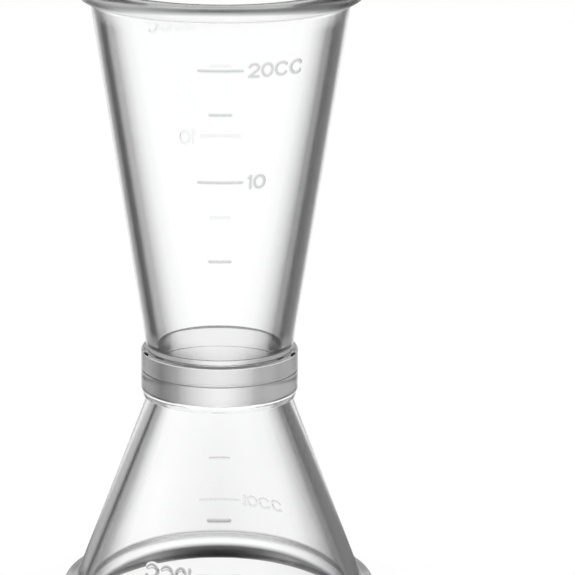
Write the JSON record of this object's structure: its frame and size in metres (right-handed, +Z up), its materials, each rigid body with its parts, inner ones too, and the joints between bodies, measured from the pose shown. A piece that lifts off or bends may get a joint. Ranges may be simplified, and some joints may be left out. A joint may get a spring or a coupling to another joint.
{
  "type": "double-ended graduated measure",
  "caption": "Clear plastic double-ended measuring cup: a slender conical cup above and a wider inverted conical cup below, joined at a round collar, with raised graduation marks.",
  "frame": {"origin": "centre of the rim of the inverted cup, on the surface that it stands on", "axes": "+Z up along the axis of both cups; the two scales face -Y and +Y"},
  "size_m": [0.0438, 0.0438, 0.089],
  "materials": {
    "clear_plastic_upper": "clear, polished moulding",
    "clear_plastic_lower": "clear, polished moulding"
  },
  "bodies": {
    "root": {"upper_cup": "clear_plastic_upper", "lower_cup": "clear_plastic_lower"}
  },
  "joints": []
}
